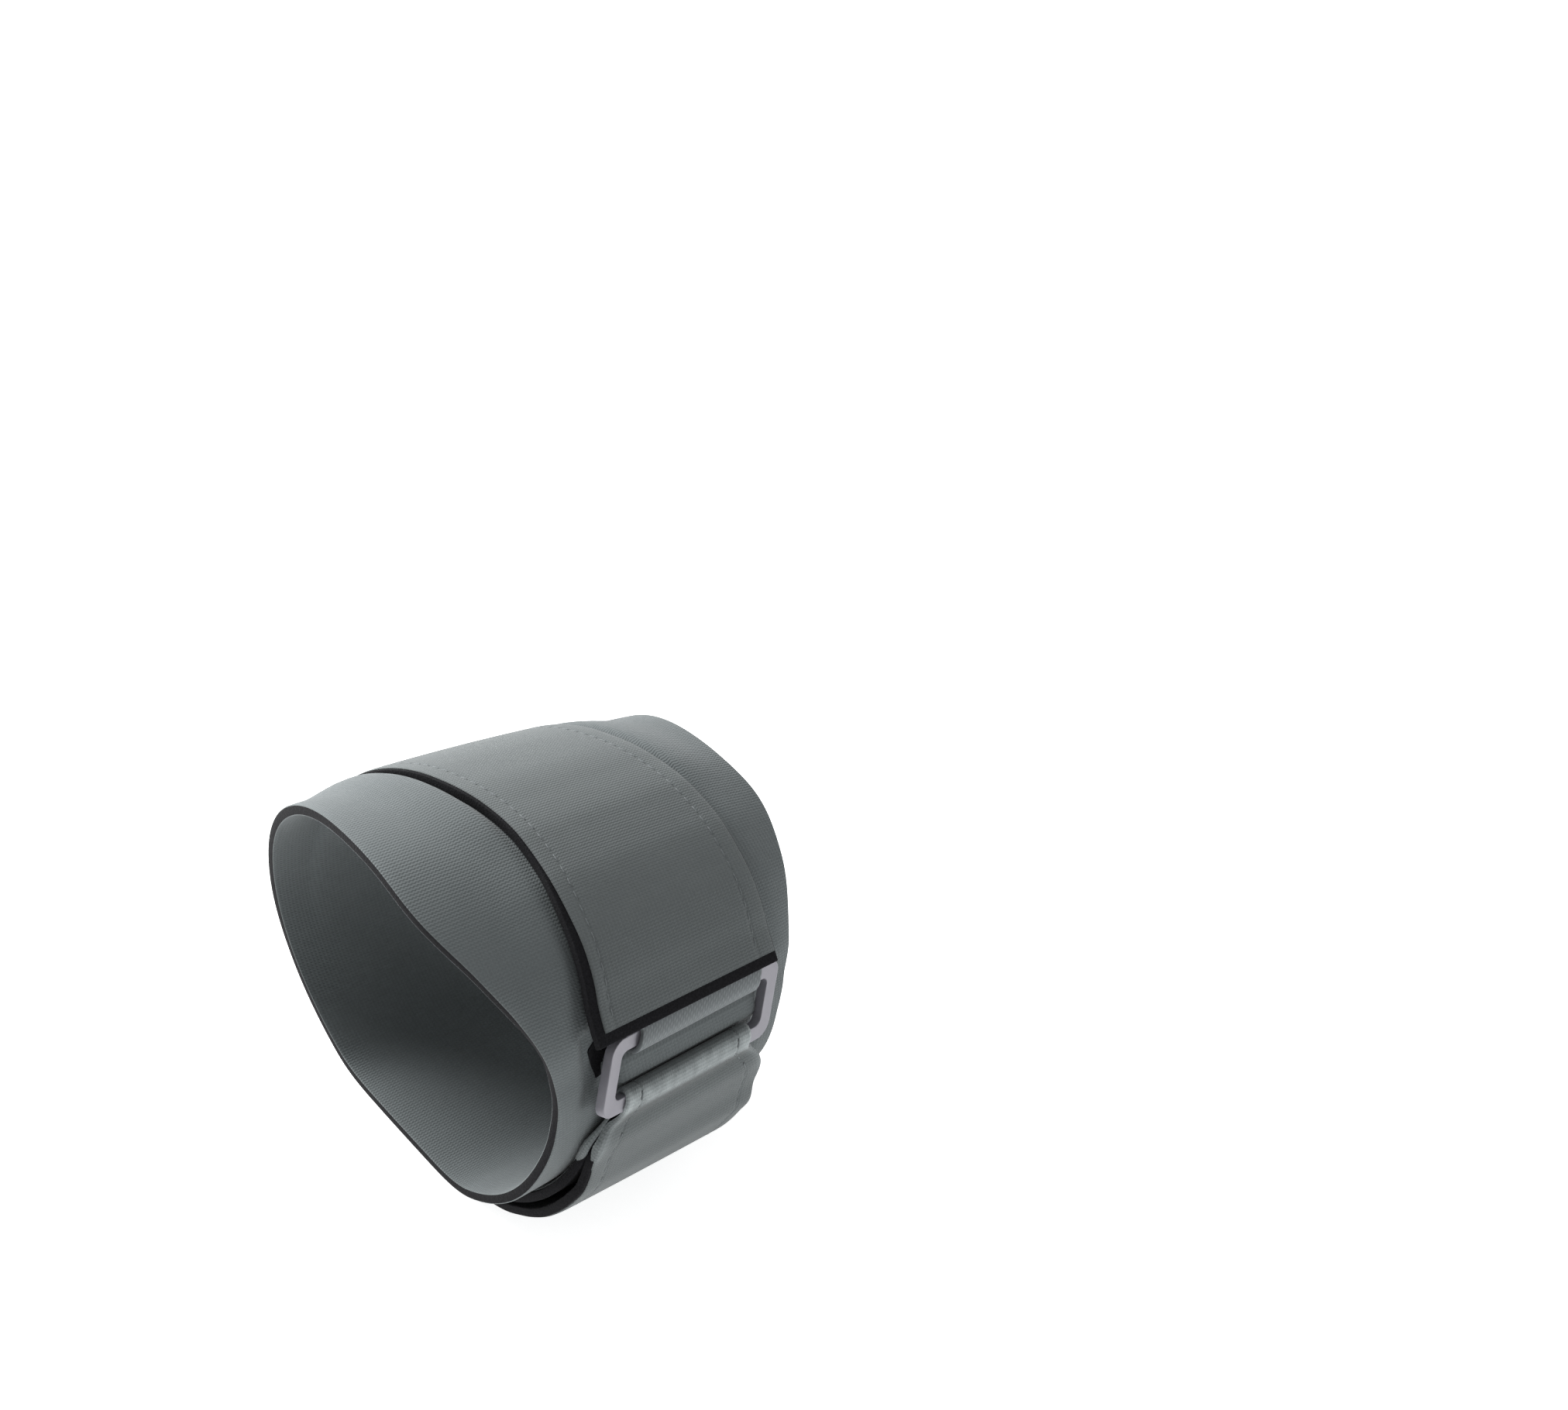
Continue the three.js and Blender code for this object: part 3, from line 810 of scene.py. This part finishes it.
def strap_stations():
    stations = []
    radius = RING_THICKNESS / 2 + NECK_GAP + NECK_THICKNESS / 2
    angle = ANCHOR_ANGLE
    while angle < LOWER_BAR_ANGLE - ANGLE_STEP / 2:
        rise = ease(angle, LOWER_BAR_ANGLE - CLIMB_START, LOWER_BAR_ANGLE - CLIMB_END)
        lift = mix(STRAP_MIDDLE, LOWER_BAR_LIFT - radius, rise)
        stations.append(strap_station(angle, lift, lift, LOWER_BAR_ANGLE - angle))
        angle += ANGLE_STEP
    stations += fold_stations(-BAR_SPACING / 2, 1, radius, NECK_GAP)
    for past_bar, pucker in CREASE_ROWS:
        lift = STRAP_MIDDLE + RUN_HEIGHT + pucker * PUCKER_HEIGHT
        stations.append(strap_station(LOWER_BAR_ANGLE - past_bar, lift, lift, past_bar))
    tip_angle = UPPER_BAR_ANGLE + TIP_RISE - 360
    angle = OUTER_RUN[0][0]
    while angle > tip_angle + ANGLE_STEP / 2:
        stations.append(outer_station(angle))
        angle -= ANGLE_STEP
    return stations + [outer_station(tip_angle)]


strap_line = strap_stations()
strap_length = station_knots(strap_line)[-1]
print("strap length, mm:", round(strap_length, 1))

# %% Sizes of the strap's layers
COVER_THICKNESS = 0.5
LAYER_BITE = 0.05
FOAM_EDGE_ROUND = 0.3
FOAM_THICKNESS = STRAP_THICKNESS - COVER_THICKNESS + LAYER_BITE
FOAM_OFFSET = (STRAP_THICKNESS - FOAM_THICKNESS) / 2
NECK_REACH = 7
NECK_FADE = 11
WRIST_INSET = 0.4
ELBOW_INSETS = (0.7, 2.3)
ELBOW_INSET_RUN = (42, 12)
TIP_INSET = 2.4
STITCH_INSET = 4.6
STITCH_DIP = 0.16
STITCH_DIP_REACH = 0.45
EDGE_PRESS = 0.22
EDGE_PRESS_REACH = 0.7
ROW_SPACING = 0.9
BOUND_REACH = 16
BOUND_FADE = 6
# The cover's outermost columns: share of the way in to the first plain column, then, where the cover
# is bound round the foam's edge, place across and depth
EDGE_ROWS = [(0, -0.4, 2.3), (0.04, -0.48, 1.5), (0.08, -0.42, 0.65), (0.12, -0.12, 0.12),
             (0.18, 0.3, 0), (0.35, 0.9, 0), (0.6, 1.6, 0)]
PLAIN_START = 2.4
PLAIN_PLACES = [2.4, 3.2, 3.8, 4.2, 4.4, 4.6, 4.8, 5, 5.4, 6.2, 7.6]
MIDDLE_START = 9.5
MIDDLE_STEPS = 14
MIDDLE_PLACES = [mix(MIDDLE_START, STRAP_WIDTH - MIDDLE_START, step / MIDDLE_STEPS)
                 for step in range(MIDDLE_STEPS + 1)]
FOAM_EDGE_PLACES = [0, 0.4, 1, 2, 4, 7]
before_fold = round((LOWER_BAR_ANGLE - ANCHOR_ANGLE) / ANGLE_STEP)
fold_middle = station_knots(strap_line)[before_fold + FOLD_STEPS // 2]


# %% Where the cover ends
def bound_share(stop):
    """1 where the cover is bound round the foam's edges, beside the ring, and 0 where cut flush."""
    return 1 - ease(abs(stop - fold_middle), BOUND_REACH, BOUND_REACH + BOUND_FADE)


def elbow_inset(stop):
    start, end = ELBOW_INSET_RUN
    return mix(*ELBOW_INSETS, ease(stop, strap_length - start, strap_length - end))


def thickness_at(stop):
    neck = 1 - ease(abs(stop - fold_middle), NECK_REACH, NECK_REACH + NECK_FADE)
    return mix(STRAP_THICKNESS, NECK_THICKNESS, neck)


def cover_offset(stop):
    return -(thickness_at(stop) - COVER_THICKNESS) / 2


def edge_column(row, inset_at, mirrored):
    share, bound_place, _ = row

    def column(stop):
        place = mix(mix(inset_at(stop), PLAIN_START, share), bound_place, bound_share(stop))
        return STRAP_WIDTH - place if mirrored else place

    return column


def edge_depth(row, stop):
    pressed = EDGE_PRESS * math.exp(-row[0] * PLAIN_START / EDGE_PRESS_REACH)
    wall = (thickness_at(stop) - COVER_THICKNESS) / (STRAP_THICKNESS - COVER_THICKNESS)
    return mix(pressed, row[2] * wall, bound_share(stop))


def stitch_depth(place):
    inside = min(place, STRAP_WIDTH - place)
    return STITCH_DIP * math.exp(-((inside - STITCH_INSET) / STITCH_DIP_REACH) ** 2)


# %% Where the cover is worn, and its painted light and shade
# Place past the middle of the fold, and the painted light there: a painted highlight along the bar,
# and painted shade in the crease below it
FOLD_PAINTED_LIGHT_ROWS = [(-1, 0), (1, 0.6), (2.6, 2.2), (4.6, 1.9), (6.2, -0.2), (7.8, -0.55), (10.5, -0.45),
             (14, 0)]
# Lighter cloth along the cut edges: slight edge wear where the cover is cut flush, and a painted
# highlight where it is bound round the foam, beside the ring
CUT_WEAR = 0.12
BOUND_EDGE_PAINTED_HIGHLIGHT = 1.2
EDGE_WEAR_AND_HIGHLIGHT_REACH = 1.2


# The fold's painted highlight and painted crease shade, plus the lighter cut edges
def cover_wear_and_painted_light(stop, place):
    fold = table_value(FOLD_PAINTED_LIGHT_ROWS, 1, stop - fold_middle)
    from_cut = max(min(place, STRAP_WIDTH - place), 0)
    return fold + mix(CUT_WEAR, BOUND_EDGE_PAINTED_HIGHLIGHT, bound_share(stop)) * math.exp(-from_cut / EDGE_WEAR_AND_HIGHLIGHT_REACH)


# %% Build the foam and the cover
def build_foam():
    places = FOAM_EDGE_PLACES + MIDDLE_PLACES
    places += [STRAP_WIDTH - place for place in reversed(FOAM_EDGE_PLACES)]
    columns = [straight(place) for place in places]
    rows, stops = sheet_rows(strap_line, columns, STRAP_WIDTH, ROW_SPACING)
    moved = [[middle + normal * FOAM_OFFSET for middle, normal in row] for row in rows]
    shares = [(thickness_at(stop) - COVER_THICKNESS + LAYER_BITE) / FOAM_THICKNESS for stop in stops]
    foam = grid_sheet("strap_foam", moved, stops, [places] * len(rows), thickness_shares=shares)
    thicken(foam, FOAM_THICKNESS, FOAM_EDGE_ROUND)
    return foam


def build_cover():
    plain = PLAIN_PLACES + MIDDLE_PLACES + [STRAP_WIDTH - place for place in reversed(PLAIN_PLACES)]
    columns = [edge_column(row, elbow_inset, False) for row in EDGE_ROWS]
    columns += [straight(place) for place in plain]
    columns += [edge_column(row, lambda stop: WRIST_INSET, True) for row in reversed(EDGE_ROWS)]
    rows, stops = sheet_rows(strap_line, columns, STRAP_WIDTH, ROW_SPACING, (TIP_INSET, TIP_INSET))
    moved = []
    for row, stop in zip(rows, stops):
        edge = [edge_depth(entry, stop) for entry in EDGE_ROWS]
        depths = edge + [stitch_depth(place) for place in plain] + edge[::-1]
        moved.append([middle + normal * (cover_offset(stop) + depth)
                      for (middle, normal), depth in zip(row, depths)])
    edge_places = [place - depth for _, place, depth in EDGE_ROWS]
    places = edge_places + plain + [STRAP_WIDTH - place for place in reversed(edge_places)]
    cover = grid_sheet("strap_cover", moved, stops, [places] * len(rows), wear_and_painted_light=cover_wear_and_painted_light)
    thicken(cover, COVER_THICKNESS)
    return cover


foam, cover = build_foam(), build_cover()
strap_knit = finish_material("strap_knit", knit_loops, {"Course": 0.0009, "Fuzz": 0.5, "Mottle": 0.3},
                             (0.058, 0.066, 0.067), (0.124, 0.138, 0.14), 0.86, 0.1, sheen=0.1)
dress(foam, black_foam)
dress(cover, strap_knit)
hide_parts("tension_strap")

# %% [markdown]
# ## The stitches along the strap
# A row of lockstitch runs along both edges and holds the cover down. Each stitch is a short thread that
# rises from one hole and dives into the next. One is shaped from a low ball and copied along the line.

# %% Stitch rows
STITCH_PITCH = 3
STITCH_LENGTH = 2.3
THREAD_RADIUS = 0.2
STITCH_END = 3


def stitch_template():
    ball = primitive("stitch", bpy.ops.mesh.primitive_uv_sphere_add, segments=8, ring_count=6, radius=1)
    edit_whole(ball, bpy.ops.transform.resize,
               value=(STITCH_LENGTH / 2, THREAD_RADIUS, THREAD_RADIUS))
    return ball


def stitches_along(name, frames):
    """Copies of one stitch, joined: each frame is a place, a way along and a normal, in millimetres."""
    ball = stitch_template()
    points = [vertex.co.copy() for vertex in ball.data.vertices]
    faces = [list(face.vertices) for face in ball.data.polygons]
    bpy.data.objects.remove(ball)
    all_points, all_faces = [], []
    for centre, along, normal in frames:
        along = along.normalized()
        side = normal.cross(along).normalized()
        turn = Matrix((along, side, along.cross(side))).transposed()
        start = len(all_points)
        all_points += [placed(centre + turn @ point) for point in points]
        all_faces += [[start + index for index in face] for face in faces]
    mesh = bpy.data.meshes.new(name)
    mesh.from_pydata(all_points, [], all_faces)
    piece = bpy.data.objects.new(name, mesh)
    bpy.context.collection.objects.link(piece)
    select_only(piece)
    bpy.ops.object.shade_smooth()
    print(name, len(frames), "stitches")
    return piece


def strap_stitch_frames(place):
    rows, stops = sheet_rows(strap_line, [straight(place)], STRAP_WIDTH, STITCH_PITCH / 2)
    frames = []
    for index in range(1, len(rows) - 1, 2):
        if not STITCH_END < stops[index] < strap_length - STITCH_END:
            continue
        middle, normal = rows[index][0]
        along = rows[index + 1][0][0] - rows[index - 1][0][0]
        lift = cover_offset(stops[index]) - COVER_THICKNESS / 2 + STITCH_DIP
        frames.append((middle + normal * lift, along, -normal))
    return frames


thread = finish_material("grey_thread", webbing_weave, {"Yarn": 0.0004}, (0.08, 0.09, 0.094),
                         (0.15, 0.165, 0.17), 0.7, 0.05, sheen=0.1, use_uv=False)
stitch_frames = (strap_stitch_frames(STITCH_INSET)
                 + strap_stitch_frames(STRAP_WIDTH - STITCH_INSET))
strap_stitches = stitches_along("strap_stitches", stitch_frames)
dress(strap_stitches, thread)

# %% [markdown]
# ## The ring
# The ring is one moulded loop: a flat frame with round corners and soft edges. A block is inset on both
# faces, the insets are deleted and bridged into the window, the corners are bevelled round and then all
# edges are softened.

# %% Model the ring
RING_CORNER = 3
WINDOW_CORNER = 1.5
RING_EDGE = 1.0
RING_SMOOTH_ANGLE = 40
# Distances that tell the block's edges apart, in millimetres
LEVEL = 0.1
APART = 1


def bevel_upright_corners(piece, half_length, radius):
    """Rounds the four upright edges that stand that far from the middle."""
    clear_selection(piece, "EDGE")
    for edge in piece.data.edges:
        first, second = (piece.data.vertices[i].co for i in edge.vertices)
        upright = abs(first.z - second.z) > APART
        edge.select = upright and abs(abs(first.x) - half_length) < LEVEL
    edit(piece, bpy.ops.mesh.bevel, offset=radius, segments=6, profile=0.5)


def build_ring():
    ring = primitive("ring", bpy.ops.mesh.primitive_cube_add, size=1)
    outer_length = RING_WINDOW_LENGTH + 2 * RING_BAR_WIDTH
    outer_height = RING_WINDOW_HEIGHT + 2 * RING_BAR_WIDTH
    edit_whole(ring, bpy.ops.transform.resize, value=(outer_length, outer_height, RING_THICKNESS))
    clear_selection(ring, "FACE")
    for face in ring.data.polygons:
        face.select = abs(face.normal.z) > 0.9
    edit(ring, bpy.ops.mesh.inset, thickness=RING_BAR_WIDTH, use_individual=True)
    edit(ring, bpy.ops.mesh.delete, type="ONLY_FACE")
    clear_selection(ring, "EDGE")
    for edge in ring.data.edges:
        ends = [ring.data.vertices[i].co for i in edge.vertices]
        inner = all(abs(end.x) < outer_length / 2 - APART for end in ends)
        edge.select = inner and abs(ends[0].z - ends[1].z) < LEVEL
    edit(ring, bpy.ops.mesh.bridge_edge_loops)
    bevel_upright_corners(ring, outer_length / 2, RING_CORNER)
    bevel_upright_corners(ring, RING_WINDOW_LENGTH / 2, WINDOW_CORNER)
    face_outwards(ring)
    apply_modifier(ring, "BEVEL", width=RING_EDGE, segments=5, limit_method="ANGLE",
                   angle_limit=math.radians(CORNER_ANGLE))
    edit_whole(ring, bpy.ops.mesh.remove_doubles, threshold=MERGE_DISTANCE)
    for vertex in ring.data.vertices:
        vertex.co = placed(RING_PLACE @ vertex.co)
    select_only(ring)
    bpy.ops.object.shade_smooth_by_angle(angle=math.radians(RING_SMOOTH_ANGLE))
    print("ring", len(ring.data.polygons), "faces")
    return ring


PEEL_SCALE = 900
PLASTIC_BROAD_SCALE = 120


def plastic_group():
    """The faint orange-peel of a moulding and slight wear."""
    group, given, result = new_group("moulded_plastic")
    peel = noise_node(group, given["Vector"], PEEL_SCALE, 2)
    broad = noise_node(group, given["Vector"], PLASTIC_BROAD_SCALE, 3)
    group.links.new(plus(group, peel, times(group, broad, 0.6)), result["Height"])
    group.links.new(broad, result["Shade"])
    return group


ring_plastic = finish_material("ring_plastic", plastic_group(), {}, (0.17, 0.166, 0.19),
                               (0.25, 0.246, 0.276), 0.42, 0.03, use_uv=False, specular=0.5)
ring = build_ring()
dress(ring, ring_plastic)
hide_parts("buckle_ring")

# %% [markdown]
# ## The webbing tab
# A short piece of woven tape goes round the ring's upper bar, and both its ends are sewn to the sleeve
# under the strap's tip.

# %% Build the tab
TAB_MIDDLE = LAYER_GAP + TAB_THICKNESS / 2
TAB_EDGE_ROUND = 0.4
TAB_COLUMNS = 24
TAB_ROW_SPACING = 0.5


def tab_station(angle, lift):
    return lambda across: form_point(angle, UPPER_NECK_X + mix(-NECK_HALF, NECK_HALF, across), lift)


def build_tab():
    radius = RING_THICKNESS / 2 + TAB_BAR_GAP + TAB_THICKNESS / 2
    tail_lift = TAB_MIDDLE + TAB_THICKNESS + LAYER_GAP
    end_angle = UPPER_BAR_ANGLE + TAB_RISE
    stations = [tab_station(end_angle, TAB_MIDDLE)]
    stations += [tab_station(UPPER_BAR_ANGLE + past, TAB_MIDDLE) for past, _ in reversed(TAB_TAIL_ROWS)]
    stations += fold_stations(BAR_SPACING / 2, -1, radius, TAB_BAR_GAP)
    stations += [tab_station(UPPER_BAR_ANGLE + past, mix(UPPER_BAR_LIFT + radius, tail_lift, drop))
                 for past, drop in TAB_TAIL_ROWS]
    stations.append(tab_station(end_angle, tail_lift))
    places = [2 * NECK_HALF * step / TAB_COLUMNS for step in range(TAB_COLUMNS + 1)]
    columns = [straight(place) for place in places]
    rows, stops = sheet_rows(stations, columns, 2 * NECK_HALF, TAB_ROW_SPACING)
    middles = [[middle for middle, _ in row] for row in rows]
    tab = grid_sheet("tab", middles, stops, [places] * len(rows))
    thicken(tab, TAB_THICKNESS, TAB_EDGE_ROUND)
    return tab, stops[-1]


tab_webbing = finish_material("tab_webbing", webbing_weave, {"Yarn": 0.0007}, (0.085, 0.096, 0.1),
                              (0.17, 0.186, 0.192), 0.8, 0.08, sheen=0.1)
tab, tab_length = build_tab()
dress(tab, tab_webbing)
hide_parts("ring_tab")

# %% [markdown]
# ## A painted shadow under the ring
# The tab's tails are sewn down over a thin black patch on the sleeve, which is painted shadow: its
# edge shows as a dark line beside the ring, under the strap's corner, where the stack casts shade.

# %% Build the painted shadow patch
PATCH_THICKNESS = 0.3
PATCH_EDGE_ROUND = 0.1
PATCH_LIFT = 0.12
PATCH_WIDTH = 10.4
PATCH_TOP = UPPER_BAR_ANGLE + TIP_RISE + 1
# Share of the way up the patch, and how far its edge stands back from the ring's end
PATCH_EDGE = [(0, 0.6), (0.4, 0), (0.62, 0), (0.85, 2.8), (1, 3.2)]
# Place across the patch, and how far below the upper bar it ends, in degrees
PATCH_FOOT = [(0, 9), (3, 8.5), (6, 3.5), (10, 3)]
PATCH_STEPS = 24


def build_shadow_patch():
    rows = []
    steps = [step / PATCH_STEPS for step in range(PATCH_STEPS + 1)]
    for up in steps:
        low_x = RING_EDGE_X + table_value(PATCH_EDGE, 1, up)
        line = []
        for across in steps:
            x = mix(low_x, RING_EDGE_X + PATCH_WIDTH, across)
            foot = UPPER_BAR_ANGLE - table_value(PATCH_FOOT, 1, x - RING_EDGE_X)
            angle = mix(foot, PATCH_TOP, up)
            line.append(form_point(angle, x, sleeve_lift(angle, x) + PATCH_LIFT))
        rows.append(line)
    length = math.radians(PATCH_TOP - UPPER_BAR_ANGLE + PATCH_FOOT[0][1]) * ELBOW_HALF_HEIGHT
    stops = [length * up for up in steps]
    places = [PATCH_WIDTH * across for across in steps]
    shadow_patch = grid_sheet("painted_shadow_patch", rows, stops, [places] * len(rows))
    thicken(shadow_patch, PATCH_THICKNESS, PATCH_EDGE_ROUND)
    return shadow_patch, (PATCH_WIDTH * MM, length * MM)


shadow_patch, shadow_patch_size = build_shadow_patch()
# A black sheet as painted shadow beside the ring's end
dress(shadow_patch, black_foam)

# %% [markdown]
# ## Floor, light and camera
# The strap lies on a plain white light table, which keeps the floor white and lifts the underside. One
# large soft light stands low behind it, so the top ridge is bright and the near side is darker.
# The camera looks down at it from the elbow side, with the strap in the lower left of the picture.

# %% The floor
FLOOR_SIZE = 6
FLOOR_GLOW = 0.7
floor = primitive("floor", bpy.ops.mesh.primitive_plane_add, size=FLOOR_SIZE)
floor_material = bpy.data.materials.new("floor_paper")
floor_material.use_nodes = True
floor_shader = floor_material.node_tree.nodes["Principled BSDF"]
floor_shader.inputs["Base Color"].default_value = (0.9, 0.9, 0.9, 1)
floor_shader.inputs["Roughness"].default_value = 0.9
floor_shader.inputs["Emission Color"].default_value = (1, 1, 1, 1)
floor_shader.inputs["Emission Strength"].default_value = FLOOR_GLOW
floor.data.materials.append(floor_material)


# %% The lights
WORLD_STRENGTH = 0.45


def soft_light(name, place, size, power, aim=(0, 0, 0.04)):
    data = bpy.data.lights.new(name, "AREA")
    data.shape = "SQUARE"
    data.size = size
    data.energy = power
    light = bpy.data.objects.new(name, data)
    light.location = place
    light.rotation_euler = (Vector(aim) - Vector(place)).to_track_quat("-Z", "Y").to_euler()
    bpy.context.collection.objects.link(light)


soft_light("back_key", (-0.25, 1.0, 0.6), 0.7, 37)
soft_light("low_fill", (0.35, -0.9, 0.12), 0.4, 4)
world = bpy.data.worlds.new("studio")
world.use_nodes = True
sky = world.node_tree.nodes["Background"]
sky.inputs["Color"].default_value = (1, 1, 1, 1)
sky.inputs["Strength"].default_value = WORLD_STRENGTH
bpy.context.scene.world = world
bpy.context.scene.view_settings.view_transform = "Standard"

# %% The camera
PICTURE = (2024, 1820)
SENSOR = 36
OBJECT_PIXEL = (714, 1229)
LENS_PIXELS = 4150
CAMERA_AZIMUTH, CAMERA_ELEVATION = math.radians(-34), math.radians(46)
CAMERA_DISTANCE = 0.72
TARGET_HEIGHT = 40


def add_camera():
    data = bpy.data.cameras.new("camera")
    data.sensor_width = SENSOR
    data.lens = LENS_PIXELS / PICTURE[0] * SENSOR
    data.clip_start, data.clip_end = 0.01, 20
    camera = bpy.data.objects.new("camera", data)
    back = Vector((math.sin(CAMERA_AZIMUTH) * math.cos(CAMERA_ELEVATION),
                   -math.cos(CAMERA_AZIMUTH) * math.cos(CAMERA_ELEVATION), math.sin(CAMERA_ELEVATION)))
    target = placed(Vector((SLEEVE_LENGTH / 2, 0, TARGET_HEIGHT)))
    camera.location = target + back * CAMERA_DISTANCE
    right = OBJECT_PIXEL[0] - PICTURE[0] / 2
    up = PICTURE[1] / 2 - OBJECT_PIXEL[1]
    seen = Vector((right, up, -LENS_PIXELS)).normalized()
    turn = Vector((0, 0, -1)).rotation_difference(seen)
    camera.rotation_mode = "QUATERNION"
    camera.rotation_quaternion = (-back).to_track_quat("-Z", "Y") @ turn.inverted()
    bpy.context.collection.objects.link(camera)
    bpy.context.scene.camera = camera


add_camera()
